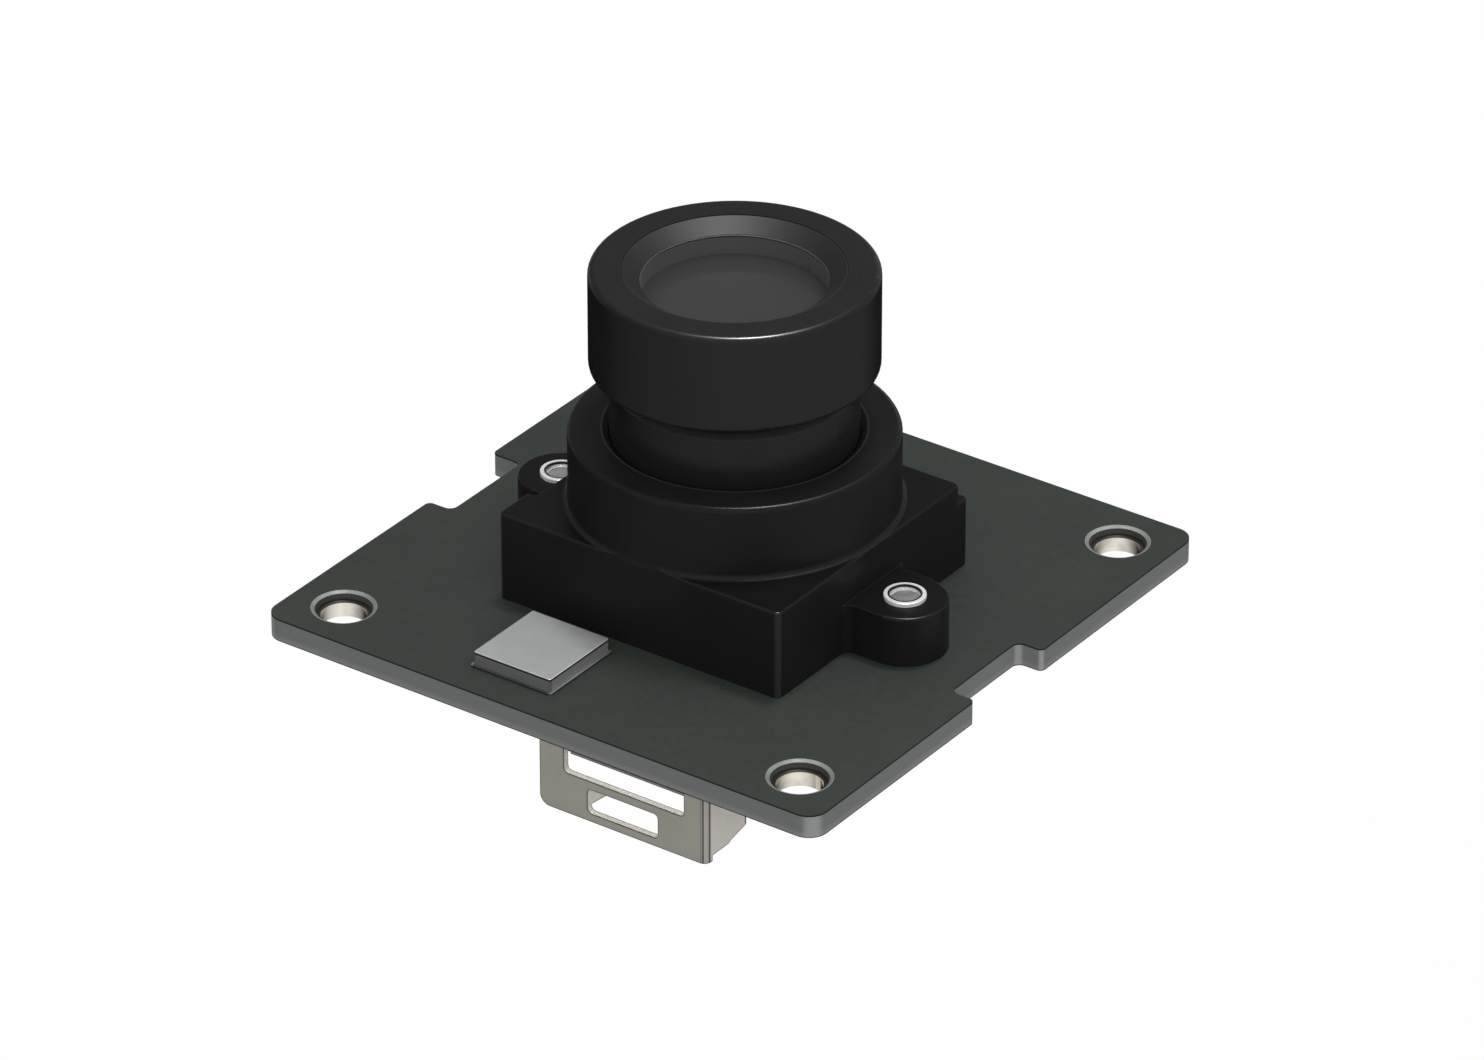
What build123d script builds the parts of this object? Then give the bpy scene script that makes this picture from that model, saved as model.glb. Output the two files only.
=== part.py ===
"""Board camera: lens in a screw-in holder, carried on a small square circuit board.

Millimetres, +Z up. The origin is the centre of the board's four fixing holes, on the board's
underside. X runs along the board's front edge, Y towards its back edge. The lens axis stands a
little off the board's centre.
"""
import math
import os

from build123d import *

os.makedirs("parts", exist_ok=True)

# Circuit board
board_size = 32.0
board_thick = 1.2
board_corner = 1.0
hole_inset = 2.75
back_left_step = 0.35
notch_depth = 1.4
notch_length = 5.6
notch_shift = -0.15
notch_inner_radius = 0.45
notch_outer_radius = 0.3

# Metal-lined fixing holes
bushing_bore = 2.26
bushing_wall = 0.14
bushing_recess = 0.4
mouth_width = 3.18
land_width = 0.19
land_thick = 0.12

# Lens axis and the holder standing on the board
lens_x = 0.35
lens_y = -0.35
base_width = 16.3
base_front = 7.9
base_back = 7.1
base_ledge = 0.7
base_height = 4.62
ledge_drop = 1.02
base_corner = 0.35
boss_width = 15.9
boss_height = 3.8
boss_flare = 0.25
boss_rim = 0.25
soft_edge = 0.12
ear_spacing = 20.1
ear_radius = 2.1
ear_shift = -0.3
ear_height = 2.6
ear_blend = 0.5
relief_depth = 0.55
relief_length = 10.6
relief_corner = 0.4

# Screwed fit of the lens in the holder
thread_width = 12.0
thread_clearance = 0.05
bore_chamfer = 0.28
shelf_under = 2.3
shelf_thick = 0.9
window_width = 7.0
filter_width = 8.3
filter_thick = 0.3
filter_room = 0.05
holder_wall = 1.55
pin_width = 0.8
pin_length = 0.9
pin_clearance = 0.02
pin_inset = 1.35

# Inserts in the ears and the screws that come up through the board
insert_width = 2.05
insert_bore = 1.48
insert_proud = 0.2
insert_crown = 0.04
screw_clearance = 0.005
screw_head_width = 3.0
screw_head_height = 0.9
screw_hole = 1.7

# Lens barrel
barrel_bottom = 5.6
neck_top = 12.4
neck_chamfer = 0.25
groove_depth = 0.45
groove_height = 0.6
head_height = 5.08
head_width = 13.84
head_soft = 0.3
head_rim = 0.3
mouth_bore = 10.66
shoulder_bore = 8.8
shoulder_thick = 0.6
stack_bore = 9.2
stack_fit = 0.02
glass_fit = 0.05

# Front of the lens, from the top down
bezel_height = 0.66
bezel_sink = 0.03
seat_height = 0.96
seat_bore = 8.94
front_glass_thick = 1.3
front_glass_margin = 0.8
front_glass_hollow = 0.55

# Glass stack behind the shoulder, from the top down. A lens has its thickness, its clear radius
# and how far its lower and upper faces bulge (a minus is a hollow); a ring its bore radius.
second_lens_thick = 1.2
second_lens_clear = 3.6
second_lens_bulges = (0.5, 0.3)
upper_spacer_thick = 0.9
upper_spacer_bore = 3.7
aperture_thick = 0.15
aperture_radius = 1.3
middle_spacer_thick = 0.6
middle_spacer_bore = 3.3
third_lens_thick = 1.3
third_lens_clear = 3.2
third_lens_bulges = (0.35, 0.4)
lower_spacer_thick = 0.9
lower_spacer_bore = 3.4
rear_lens_thick = 1.0
rear_lens_clear = 3.2
rear_lens_bulges = (-0.3, 0.35)
retainer_thick = 0.7
retainer_bore = 3.5

# Sensor
sensor_width = 9.6
sensor_height = 1.0
sensor_recess_width = 7.6
sensor_recess = 0.5
die_x = 6.4
die_y = 5.2
die_thick = 0.3
cover_width = 8.8
cover_thick = 0.45

# Small metal-lidded clock module in front of the holder
clock_x = -2.68
clock_shift = 0.375
clock_width = 4.5
clock_depth = 4.7
clock_base_lip = 0.1
clock_base_thick = 0.12
clock_height = 0.82
clock_sheet = 0.12
clock_corner = 0.12
clock_soft = 0.05

# Folded bracket under the front edge
sheet = 0.35
bracket_left = 0.3
bracket_right = 9.88
bracket_set_back = 0.05
bracket_height = 3.5
bracket_depth = 3.43
bracket_corner = 0.55
bend_radius = 0.37
long_slot = (1.7, 8.6, 1.32)
short_slot = (3.05, 7.1, 1.76, 3.06)
slot_corner = 0.25
flange_height = 2.53
flange_reach = 0.5
side_cut_from = 0.5
side_cut_rise = 0.3
side_step = 1.8
side_step_length = 0.15
side_step_rise = 0.4
side_cut_end_rise = 0.72
tab_reach = 1.55

# Parts on the underside
processor_x = 0.0
processor_y = 1.5
processor_width = 9.0
substrate_thick = 0.3
mould_thick = 0.6
memory_set_in = 6.0
memory_y = 6.0
memory_length = 4.9
memory_width = 3.9
memory_height = 1.4
lead_pitch = 1.27
lead_width = 0.42
lead_thick = 0.2
lead_foot = 0.65
crystal_spot = (-8.6, -6.6)
coil_spots = [(9.0, 5.2), (9.0, 9.2)]
coil_width = 3.0
coil_height = 1.2
coil_plate = 0.25
coil_hub_width = 1.44
winding_width = 2.64
winding_height = 0.7
regulator_spots = [(9.3, -5.8), (3.4, -7.4)]
regulator_width = 1.6
regulator_length = 2.9
regulator_height = 1.0
regulator_pitch = 0.95
regulator_lead = 0.38
regulator_lead_thick = 0.15
regulator_lead_rise = 0.28
regulator_lead_knee = 0.35
regulator_lead_end = 0.65
chip_stand_off = 0.1
crystal_length = 3.2
crystal_width = 2.5
crystal_height = 0.45
crystal_lid_inset = 0.15
crystal_lid_height = 0.25
capacitor_size = (1.6, 0.8, 0.8, 0.35)
capacitor_gap = 1.7
capacitor_pitch = 2.05
capacitor_slide_left = -1.9
capacitor_slide_right = 2.1
resistor_size = (1.0, 0.5, 0.35, 0.22)
plug_set_in = 2.65
plug_width = 9.4
plug_depth = 4.7
plug_height = 3.2
plug_wall = 0.55
contact_pitch = 1.25
contact_count = 5
contact_width = 0.34
anchor_length = 1.8
anchor_height = 1.2
anchor_foot = 1.1
anchor_sheet = 0.2
anchor_shift = -0.4

board_top = board_thick
lens_plane = Plane(origin=(lens_x, lens_y, 0))
lens_section = Plane(origin=(lens_x, lens_y, 0), x_dir=(1, 0, 0), z_dir=(0, -1, 0))
lens_axis = Axis((lens_x, lens_y, 0), (0, 0, 1))
thread_radius = thread_width / 2
bore_radius = thread_radius
neck_radius = thread_radius - thread_clearance
base_top = board_top + base_height
boss_top = base_top + boss_height
half_board = board_size / 2
hole_pitch = board_size - 2 * hole_inset
clock_y = (-half_board + lens_y - base_front) / 2 + clock_shift
memory_x = -half_board + memory_set_in
plug_y = half_board - plug_set_in
pocket_width = base_width - 2 * holder_wall
hole_places = [(x, y) for x in (-hole_pitch / 2, hole_pitch / 2)
               for y in (-hole_pitch / 2, hole_pitch / 2)]
ear_places = [(side * ear_spacing / 2, ear_shift) for side in (-1, 1)]
pin_places = [(-base_width / 2 + pin_inset, base_back - pin_inset),
              (base_width / 2 - pin_inset, -base_front + pin_inset)]


def save(piece, name):
    """Name a finished piece and write it out."""
    piece.part.label = name
    export_step(piece.part, f"parts/{name}.step")


def on_lens_axis(profile):
    """Turn a closed outline of (radius, height) points about the lens axis."""
    with BuildPart() as turned:
        with BuildSketch(lens_section):
            with BuildLine():
                Polyline(*profile, close=True)
            make_face()
        revolve(axis=lens_axis)
    return turned


# Circuit board: a rounded square with a notch in each side, its edge holes and its pin holes
bushing_radius = bushing_bore / 2 + bushing_wall
bushing_top = board_top - bushing_recess
mouth_radius = mouth_width / 2
land_inner = mouth_radius - land_width
land_bottom = board_top - land_thick

with BuildPart() as circuit_board:
    with BuildSketch():
        RectangleRounded(board_size, board_size, board_corner)
        with Locations((-half_board - back_left_step, half_board)):
            RectangleRounded(half_board, half_board - notch_shift, board_corner,
                             align=(Align.MIN, Align.MAX))
        with Locations((-half_board, notch_shift), (half_board, notch_shift)):
            Rectangle(2 * notch_depth, notch_length, mode=Mode.SUBTRACT)
    extrude(amount=board_thick)
    uprights = circuit_board.edges().filter_by(Axis.Z)
    notch_edges = uprights.filter_by(
        lambda e: abs(abs(e.center().Y - notch_shift) - notch_length / 2) < 0.01)
    fillet(notch_edges.filter_by(lambda e: abs(e.center().X) < half_board - notch_depth / 2),
           notch_inner_radius)
    uprights = circuit_board.edges().filter_by(Axis.Z)
    fillet(uprights.filter_by(
        lambda e: abs(abs(e.center().Y - notch_shift) - notch_length / 2) < 0.01
        and abs(e.center().X) > half_board - 0.01), notch_outer_radius)
    with Locations(*[(x, y, 0) for x, y in hole_places]):
        Cylinder(bushing_radius, board_thick, mode=Mode.SUBTRACT,
                 align=(Align.CENTER, Align.CENTER, Align.MIN))
    with Locations(*[(x, y, bushing_top) for x, y in hole_places]):
        Cone(bushing_radius, land_inner, land_bottom - bushing_top, mode=Mode.SUBTRACT,
             align=(Align.CENTER, Align.CENTER, Align.MIN))
    with Locations(*[(x, y, land_bottom) for x, y in hole_places]):
        Cylinder(mouth_radius, land_thick, mode=Mode.SUBTRACT,
                 align=(Align.CENTER, Align.CENTER, Align.MIN))
    with BuildSketch(lens_plane):
        with Locations(*ear_places):
            Circle(screw_hole / 2)
        with Locations(*pin_places):
            Circle(pin_width / 2 + pin_clearance)
    extrude(amount=board_thick, mode=Mode.SUBTRACT)
save(circuit_board, "circuit_board")

with BuildPart() as hole_bushings:
    with BuildSketch():
        with Locations(*hole_places):
            Circle(bushing_radius)
            Circle(bushing_bore / 2, mode=Mode.SUBTRACT)
    extrude(amount=bushing_top)
save(hole_bushings, "hole_bushings")

with BuildPart() as land_ring:
    with BuildSketch(Plane.XZ):
        with BuildLine():
            Polyline((land_inner, land_bottom), (mouth_radius, land_bottom),
                     (mouth_radius, board_top), (mouth_radius - 0.03, board_top),
                     (land_inner, land_bottom + 0.03), close=True)
        make_face()
    revolve(axis=Axis.Z)
with BuildPart() as hole_lands:
    with Locations(*[(x, y, 0) for x, y in hole_places]):
        add(land_ring.part)
save(hole_lands, "hole_lands")


# Lens holder: square base with a back ledge, round boss, two ears, pins, bore and pocket
ledge_top = base_top - ledge_drop
shelf_bottom = board_top + shelf_under
shelf_top = shelf_bottom + shelf_thick
boss_radius = boss_width / 2
ear_top = board_top + ear_height


def base_block(back, bottom, top):
    """One layer of the holder's base, from its common front out to its own back."""
    with BuildPart() as block:
        with BuildSketch(lens_plane.offset(bottom)):
            with Locations((0, (back - base_front) / 2)):
                RectangleRounded(base_width, back + base_front, base_corner)
        extrude(amount=top - bottom)
        fillet(block.faces().sort_by(Axis.Z)[-1].edges(), soft_edge)
    return block.part


curl = boss_flare * (1 - math.sqrt(0.5))
with BuildPart() as flare:
    with BuildSketch(lens_section):
        with BuildLine():
            Polyline((0, base_top + boss_flare), (0, ledge_top),
                     (boss_radius + boss_flare, ledge_top), (boss_radius + boss_flare, base_top))
            ThreePointArc((boss_radius + boss_flare, base_top),
                          (boss_radius + curl, base_top + curl),
                          (boss_radius, base_top + boss_flare))
            Line((boss_radius, base_top + boss_flare), (0, base_top + boss_flare))
        make_face()
    revolve(axis=lens_axis)
with BuildPart() as flare_limit:
    with BuildSketch(lens_plane.offset(ledge_top - soft_edge)):
        with Locations((0, (base_back - base_front) / 2)):
            Rectangle(base_width, base_back + base_front)
    extrude(amount=boss_height)

with BuildPart() as lens_holder:
    add(base_block(base_back + base_ledge, board_top, ledge_top))
    with BuildSketch(lens_plane.offset(board_top)):
        with Locations(*ear_places):
            Circle(ear_radius)
        for side in (-1, 1):
            with Locations((side * (base_width + ear_spacing) / 4, ear_shift)):
                Rectangle((ear_spacing - base_width) / 2 + 0.4, 2 * ear_radius)
    extrude(amount=ear_height)
    roots = lens_holder.edges().filter_by(Axis.Z)
    roots = roots.filter_by(lambda e: abs(abs(e.center().X - lens_x) - base_width / 2) < 0.01)
    roots = roots.filter_by(lambda e: abs(e.center().Y - lens_y - ear_shift) < ear_radius + 0.01)
    fillet(roots, ear_blend)
    rims = lens_holder.edges().filter_by(GeomType.CIRCLE)
    rims = rims.filter_by(lambda e: abs(e.center().Z - ear_top) < 0.001
                          and abs(e.radius - ear_radius) < 0.01)
    fillet(rims, soft_edge)
    add(base_block(base_back, board_top, base_top))
    with BuildSketch(lens_plane.offset(ear_top)):
        with Locations((-base_width / 2, ear_shift)):
            RectangleRounded(2 * relief_depth, relief_length, relief_corner)
    extrude(amount=base_top - ear_top, mode=Mode.SUBTRACT)
    add(flare.part & flare_limit.part)
    with BuildSketch(lens_plane.offset(base_top - 0.1)):
        Circle(boss_radius)
    extrude(amount=boss_height + 0.1)
    rim = lens_holder.faces().sort_by(Axis.Z)[-1].edges()
    fillet(rim, boss_rim)
    with BuildSketch(lens_plane.offset(board_top - pin_length)):
        with Locations(*pin_places):
            Circle(pin_width / 2)
    extrude(amount=pin_length)
    with BuildSketch(lens_plane.offset(board_top)):
        RectangleRounded(pocket_width, pocket_width, 0.8)
    extrude(amount=shelf_under, mode=Mode.SUBTRACT)
    with BuildSketch(lens_plane.offset(shelf_bottom)):
        Rectangle(filter_width + 2 * filter_room, filter_width + 2 * filter_room)
    extrude(amount=filter_thick, mode=Mode.SUBTRACT)
    with BuildSketch(lens_plane.offset(shelf_bottom)):
        RectangleRounded(window_width, window_width, 0.6)
    extrude(amount=shelf_thick, mode=Mode.SUBTRACT)
    with BuildSketch(lens_plane.offset(shelf_top)):
        Circle(bore_radius)
    extrude(amount=boss_top - shelf_top, mode=Mode.SUBTRACT)
    with Locations((lens_x, lens_y, boss_top - bore_chamfer)):
        Cone(bore_radius, bore_radius + bore_chamfer, bore_chamfer, mode=Mode.SUBTRACT,
             align=(Align.CENTER, Align.CENTER, Align.MIN))
    with BuildSketch(lens_plane.offset(board_top)):
        with Locations(*ear_places):
            Circle(insert_width / 2)
    extrude(amount=ear_height, mode=Mode.SUBTRACT)
save(lens_holder, "lens_holder")

with BuildPart() as ear_inserts:
    with BuildSketch(lens_plane.offset(board_top)):
        with Locations(*ear_places):
            Circle(insert_width / 2)
            Circle(insert_bore / 2, mode=Mode.SUBTRACT)
    extrude(amount=ear_height + insert_proud)
    crowns = ear_inserts.faces().filter_by(Axis.Z).group_by(Axis.Z)[-1].edges()
    fillet(crowns.filter_by(lambda e: e.radius > (insert_width + insert_bore) / 4),
           insert_crown)
save(ear_inserts, "ear_inserts")

screw_radius = insert_bore / 2 - screw_clearance
with BuildPart() as holder_screws:
    with BuildSketch(lens_plane.offset(-screw_head_height)):
        with Locations(*ear_places):
            Circle(screw_head_width / 2)
    extrude(amount=screw_head_height)
    fillet(holder_screws.faces().sort_by(Axis.Z)[:2].edges(), screw_head_height * 0.45)
    with BuildSketch(lens_plane):
        with Locations(*ear_places):
            Circle(screw_radius)
    extrude(amount=board_top + ear_height)
    chamfer(holder_screws.faces().sort_by(Axis.Z)[-2:].edges(), 0.12)
    with BuildSketch(lens_plane.offset(-screw_head_height)):
        with Locations(*ear_places):
            Rectangle(screw_head_width * 0.55, 0.32)
            Rectangle(0.32, screw_head_width * 0.55)
    extrude(amount=screw_head_height * 0.5, mode=Mode.SUBTRACT)
save(holder_screws, "holder_screws")


# Lens barrel: threaded neck, groove and wide head, bored for the glass at both ends
head_radius = head_width / 2
head_bottom = neck_top + groove_height
head_top = head_bottom + head_height
mouth_bore_radius = mouth_bore / 2
bezel_top = head_top - bezel_sink
seat_top = bezel_top - bezel_height
glass_top = seat_top - seat_height
shoulder_top = glass_top - front_glass_thick
stack_top = shoulder_top - shoulder_thick
groove_radius = neck_radius - groove_depth
stack_radius = stack_bore / 2

lens_barrel = on_lens_axis([
    (stack_radius, barrel_bottom), (neck_radius - neck_chamfer, barrel_bottom),
    (neck_radius, barrel_bottom + neck_chamfer), (neck_radius, neck_top - neck_chamfer),
    (neck_radius - neck_chamfer, neck_top), (groove_radius, neck_top),
    (groove_radius, head_bottom), (head_radius, head_bottom), (head_radius, head_top),
    (mouth_bore_radius, head_top), (mouth_bore_radius, shoulder_top),
    (shoulder_bore / 2, shoulder_top), (shoulder_bore / 2, stack_top), (stack_radius, stack_top)])
with lens_barrel:
    outer = lens_barrel.edges().filter_by(GeomType.CIRCLE)
    outer = outer.filter_by(lambda e: abs(e.radius - head_radius) < 0.001)
    fillet(outer.sort_by(Axis.Z)[:1], head_soft)
    outer = lens_barrel.edges().filter_by(GeomType.CIRCLE)
    outer = outer.filter_by(lambda e: abs(e.radius - head_radius) < 0.001)
    fillet(outer.sort_by(Axis.Z)[-1:], head_rim)
save(lens_barrel, "lens_barrel")

ring_radius = mouth_bore_radius - stack_fit
seat_radius = seat_bore / 2
front_bezel = on_lens_axis([
    (seat_radius, seat_top), (ring_radius, seat_top), (ring_radius, bezel_top),
    (ring_radius - 0.03, bezel_top), (seat_radius, seat_top + 0.08)])
save(front_bezel, "front_bezel")

glass_seat_ring = on_lens_axis([
    (seat_radius, glass_top), (ring_radius, glass_top), (ring_radius, seat_top),
    (seat_radius + 0.12, seat_top), (seat_radius + 0.12, seat_top - 0.08),
    (seat_radius, seat_top - 0.08)])
save(glass_seat_ring, "glass_seat_ring")


def lens_face(clear, rim_height, bulge):
    """Half of a lens face, from the edge of its clear part to the axis: a flat, or an arc."""
    if bulge == 0:
        Line((clear, rim_height), (0, rim_height))
        return
    curve = (clear ** 2 + bulge ** 2) / (2 * abs(bulge))
    half_way = abs(bulge) - curve + math.sqrt(curve ** 2 - (clear / 2) ** 2)
    ThreePointArc((clear, rim_height), (clear / 2, rim_height + math.copysign(half_way, bulge)),
                  (0, rim_height + bulge))


def glass(name, radius, clear, bottom, top, bulges):
    """A lens element with a flat rim, its lower and upper faces bulging or hollowed."""
    below, above = bulges
    with BuildPart() as element:
        with BuildSketch(lens_section):
            with BuildLine():
                Polyline((clear, bottom), (radius, bottom), (radius, top), (clear, top))
                lens_face(clear, top, above)
                lens_face(clear, bottom, -below)
                Line((0, bottom - below), (0, top + above))
            make_face()
        revolve(axis=lens_axis)
    save(element, name)


def ring(name, bore, bottom, top):
    """A plain ring that fills the barrel's stack bore."""
    save(on_lens_axis([(bore, bottom), (stack_radius - stack_fit, bottom),
                       (stack_radius - stack_fit, top), (bore, top)]), name)


# Glass stack behind the shoulder: each piece rests on the one below it
stack_glass = stack_radius - glass_fit
glass("front_glass", mouth_bore_radius - glass_fit, seat_radius - front_glass_margin,
      shoulder_top, glass_top, (-front_glass_hollow, 0))
second_bottom = stack_top - second_lens_thick
glass("second_lens", stack_glass, second_lens_clear, second_bottom, stack_top, second_lens_bulges)
upper_bottom = second_bottom - upper_spacer_thick
ring("upper_spacer", upper_spacer_bore, upper_bottom, second_bottom)
aperture_bottom = upper_bottom - aperture_thick
ring("aperture_stop", aperture_radius, aperture_bottom, upper_bottom)
middle_bottom = aperture_bottom - middle_spacer_thick
ring("middle_spacer", middle_spacer_bore, middle_bottom, aperture_bottom)
third_bottom = middle_bottom - third_lens_thick
glass("third_lens", stack_glass, third_lens_clear, third_bottom, middle_bottom, third_lens_bulges)
lower_bottom = third_bottom - lower_spacer_thick
ring("lower_spacer", lower_spacer_bore, lower_bottom, third_bottom)
rear_bottom = lower_bottom - rear_lens_thick
glass("rear_lens", stack_glass, rear_lens_clear, rear_bottom, lower_bottom, rear_lens_bulges)
ring("rear_retainer", retainer_bore, rear_bottom - retainer_thick, rear_bottom)


# Filter under the holder's shelf, and the sensor below it on the board
with BuildPart() as infrared_filter:
    with BuildSketch(lens_plane.offset(shelf_bottom)):
        Rectangle(filter_width, filter_width)
    extrude(amount=filter_thick)
save(infrared_filter, "infrared_filter")

sensor_top = board_top + sensor_height
with BuildPart() as sensor_package:
    with BuildSketch(lens_plane.offset(board_top)):
        Rectangle(sensor_width, sensor_width)
    extrude(amount=sensor_height)
    with BuildSketch(lens_plane.offset(sensor_top - sensor_recess)):
        RectangleRounded(sensor_recess_width, sensor_recess_width, 0.3)
    extrude(amount=sensor_recess, mode=Mode.SUBTRACT)
save(sensor_package, "sensor_package")

with BuildPart() as sensor_die:
    with BuildSketch(lens_plane.offset(sensor_top - sensor_recess)):
        Rectangle(die_x, die_y)
    extrude(amount=die_thick)
save(sensor_die, "sensor_die")

with BuildPart() as sensor_cover:
    with BuildSketch(lens_plane.offset(sensor_top)):
        Rectangle(cover_width, cover_width)
    extrude(amount=cover_thick)
save(sensor_cover, "sensor_cover")


# Clock module: ceramic base, pressed lid with a lip, quartz plate on two posts
clock_plane = Plane(origin=(clock_x, clock_y, board_top))
with BuildPart() as clock_base:
    with BuildSketch(clock_plane):
        RectangleRounded(clock_width + 2 * clock_base_lip, clock_depth + 2 * clock_base_lip,
                         clock_corner)
    extrude(amount=clock_base_thick)
save(clock_base, "clock_base")

with BuildPart() as clock_lid:
    with BuildSketch(clock_plane.offset(clock_base_thick)):
        RectangleRounded(clock_width, clock_depth, clock_corner)
    extrude(amount=clock_height - clock_base_thick)
    fillet(clock_lid.faces().sort_by(Axis.Z)[-1].edges(), clock_soft)
    with BuildSketch(clock_plane.offset(clock_base_thick)):
        Rectangle(clock_width - 2 * clock_sheet, clock_depth - 2 * clock_sheet)
    extrude(amount=clock_height - clock_base_thick - clock_sheet, mode=Mode.SUBTRACT)
save(clock_lid, "clock_lid")

post_height = (clock_height - clock_base_thick - clock_sheet) / 2
with BuildPart() as quartz_posts:
    with BuildSketch(clock_plane.offset(clock_base_thick)):
        with Locations((-clock_width / 4, clock_depth / 6), (-clock_width / 4, -clock_depth / 6)):
            Rectangle(0.6, 0.6)
    extrude(amount=post_height)
save(quartz_posts, "quartz_posts")

with BuildPart() as quartz_plate:
    with BuildSketch(clock_plane.offset(clock_base_thick + post_height)):
        Rectangle(clock_width * 0.7, clock_depth * 0.55)
    extrude(amount=0.1)
save(quartz_plate, "quartz_plate")


# Folded bracket: front wall with two slots, side wall, low back wall and the plate that is
# soldered to the board's underside. The long slot runs up across the top bend.
front_face = -half_board + bracket_set_back
back_face = front_face + bracket_depth
bracket_mid = (bracket_left + bracket_right) / 2
with BuildPart() as slotted_bracket:
    with BuildSketch():
        with Locations((bracket_mid, (front_face + back_face) / 2)):
            Rectangle(bracket_right - bracket_left, bracket_depth)
    extrude(amount=-bracket_height)
    corners = slotted_bracket.edges().filter_by(Axis.Z)
    fillet(corners.filter_by(lambda e: e.center().X > bracket_mid), bend_radius)
    with BuildSketch(Plane.XY.offset(-sheet)):
        with Locations((bracket_mid - sheet, (front_face + back_face) / 2)):
            Rectangle(bracket_right - bracket_left, bracket_depth - 2 * sheet)
    extrude(amount=-bracket_height, mode=Mode.SUBTRACT)
    inner = slotted_bracket.edges().filter_by(Axis.Z)
    inner = inner.filter_by(lambda e: abs(e.center().X - bracket_right + sheet) < 0.001)
    fillet(inner, bend_radius - sheet + 0.02)
    with BuildSketch(Plane.YZ.offset(bracket_right + 1)):
        with BuildLine():
            Polyline((front_face + side_cut_from, -bracket_height - 1),
                     (front_face + side_cut_from, -bracket_height + side_cut_rise),
                     (front_face + side_step, -bracket_height + side_cut_rise),
                     (front_face + side_step + side_step_length,
                      -bracket_height + side_step_rise),
                     (back_face, -bracket_height + side_cut_end_rise),
                     (back_face + 1, -bracket_height + side_cut_end_rise),
                     (back_face + 1, -bracket_height - 1), close=True)
        make_face()
    extrude(amount=bracket_left - bracket_right - 2, mode=Mode.SUBTRACT)
    with BuildSketch(Plane.XY.offset(-flange_height)):
        with Locations(((bracket_left + bracket_right - bend_radius) / 2 - 0.5, back_face)):
            Rectangle(bracket_right - bracket_left - bend_radius + 1, 2 * sheet + 0.1)
    extrude(amount=-bracket_height, mode=Mode.SUBTRACT)
    with Locations((bracket_left, back_face, 0)):
        Box(flange_reach, sheet, flange_height, align=(Align.MAX, Align.MAX, Align.MAX))
    lower_left = slotted_bracket.edges().filter_by(Axis.Y)
    lower_left = lower_left.filter_by(lambda e: abs(e.center().X - bracket_left) < 0.001
                                      and abs(e.center().Z + bracket_height) < 0.001)
    fillet(lower_left, bracket_corner)
    with BuildSketch(Plane.XZ.offset(-front_face)):
        with BuildLine():
            left, right, low = long_slot
            Polyline((left, 0.5), (left, -low), (right, -low), (right, 0.5), close=True)
        make_face()
        left, right, high, low = short_slot
        with Locations(((left + right) / 2, -(high + low) / 2)):
            Rectangle(right - left, low - high)
    extrude(amount=-sheet, mode=Mode.SUBTRACT)
    slot_edges = slotted_bracket.edges().filter_by(Axis.Y)
    slot_edges = slot_edges.filter_by(lambda e: e.center().Y < front_face + sheet
                                      and bracket_left + 0.1 < e.center().X < bracket_right - 0.6
                                      and -bracket_height + 0.1 < e.center().Z < -1.0)
    fillet(slot_edges, slot_corner)
    with BuildSketch(Plane.YZ.offset(short_slot[0])):
        with BuildLine():
            root = front_face + sheet - 0.05
            tip = front_face + tab_reach
            Polyline((root, -short_slot[2] + 0.26), (root, -short_slot[3] + 0.3),
                     (tip, -short_slot[3] + 0.16), (tip, -short_slot[2] - 0.54), close=True)
        make_face()
    extrude(amount=-sheet)
save(slotted_bracket, "slotted_bracket")


# Underside: processor, memory, crystal, coils, regulators and small chip parts
def block(x, y, width, depth, height, start=0.0):
    """A plain box hanging from the underside, starting `start` below it."""
    with Locations((x, y, -start)):
        Box(width, depth, height, align=(Align.CENTER, Align.CENTER, Align.MAX))


with BuildPart() as processor_substrate:
    block(processor_x, processor_y, processor_width, processor_width, substrate_thick)
save(processor_substrate, "processor_substrate")

with BuildPart() as processor_mould:
    block(processor_x, processor_y, processor_width - 0.4, processor_width - 0.4, mould_thick,
          substrate_thick)
    chamfer(processor_mould.faces().sort_by(Axis.Z)[0].edges(), 0.1)
save(processor_mould, "processor_mould")


def gull_lead(x, y, side, width, reach, foot, stand, thick):
    """A bent lead: foot on the board, riser, and a shoulder that meets the body."""
    with BuildPart() as lead:
        with BuildSketch(Plane.XZ.offset(-(y - width / 2))):
            with BuildLine():
                Polyline((x, -stand), (x + side * reach, -stand), (x + side * reach, -thick),
                         (x + side * (reach + foot), -thick), (x + side * (reach + foot), 0),
                         (x + side * (reach - thick), 0),
                         (x + side * (reach - thick), -stand + thick),
                         (x, -stand + thick), close=True)
            make_face()
        extrude(amount=-width)
    return lead.part


with BuildPart() as memory_body:
    block(memory_x, memory_y, memory_width, memory_length, memory_height - chip_stand_off,
          chip_stand_off)
    chamfer(memory_body.faces().sort_by(Axis.Z)[0].edges(), 0.15)
save(memory_body, "memory_body")

with BuildPart() as memory_leads:
    for side in (-1, 1):
        for place in range(4):
            add(gull_lead(memory_x + side * memory_width / 2,
                          memory_y + (place - 1.5) * lead_pitch, side, lead_width,
                          0.4, lead_foot, memory_height * 0.55, lead_thick))
save(memory_leads, "memory_leads")

with BuildPart() as crystal_base:
    block(*crystal_spot, crystal_length, crystal_width, crystal_height)
save(crystal_base, "crystal_base")

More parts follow.
